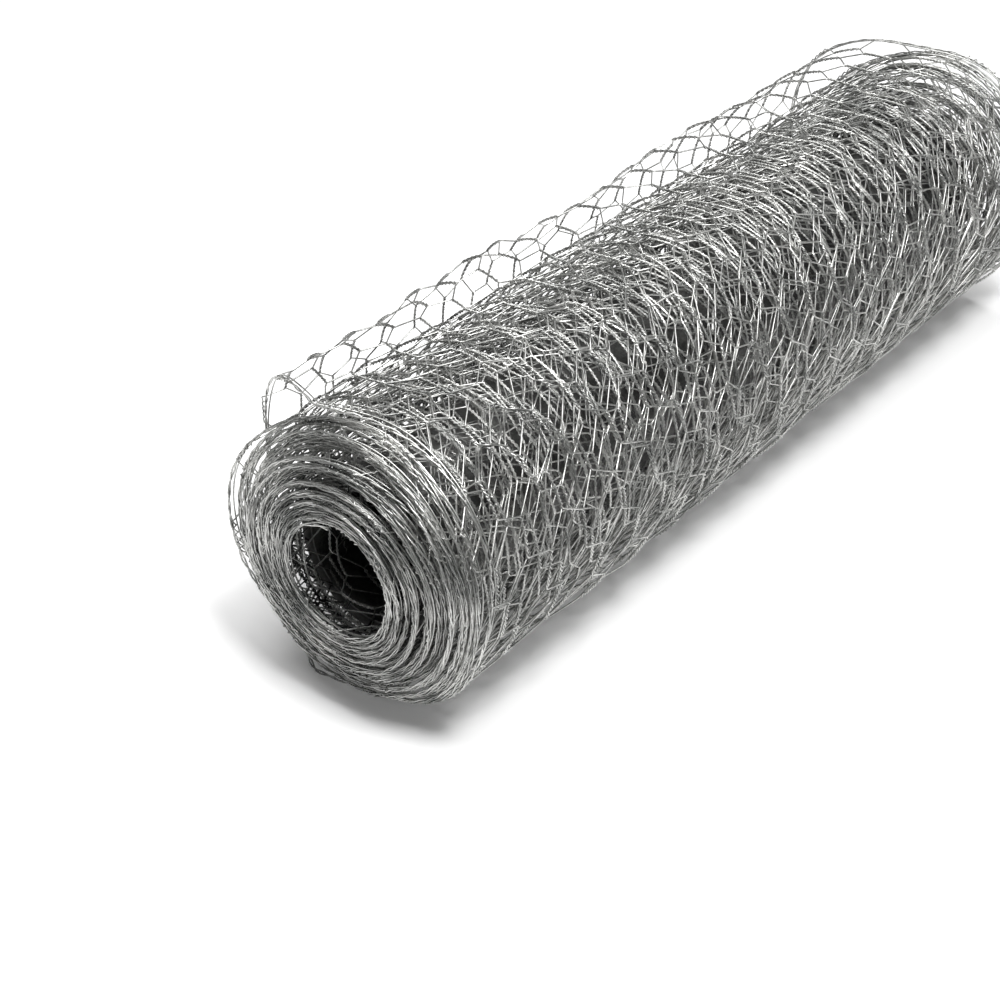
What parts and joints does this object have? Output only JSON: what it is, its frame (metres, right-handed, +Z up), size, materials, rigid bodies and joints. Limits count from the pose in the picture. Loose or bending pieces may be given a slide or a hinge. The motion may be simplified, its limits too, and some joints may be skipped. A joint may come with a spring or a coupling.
{
  "type": "roll of hexagonal wire netting",
  "caption": "Roll of galvanised hexagonal wire netting lying on its side, with an open bore, its wound turns showing at both ends and its outermost turn sprung loose.",
  "frame": {"origin": "on the axis of the bore, half-way along the bore", "axes": "+X along the roll towards the end whose inner turns are recessed, +Y to the side where the outermost turn stands off, +Z up"},
  "size_m": [0.518, 0.171, 0.1456],
  "materials": {
    "galvanised_wire": "zinc-coated steel wire, satin"
  },
  "bodies": {
    "root": {"netting_roll": "galvanised_wire"}
  },
  "joints": []
}
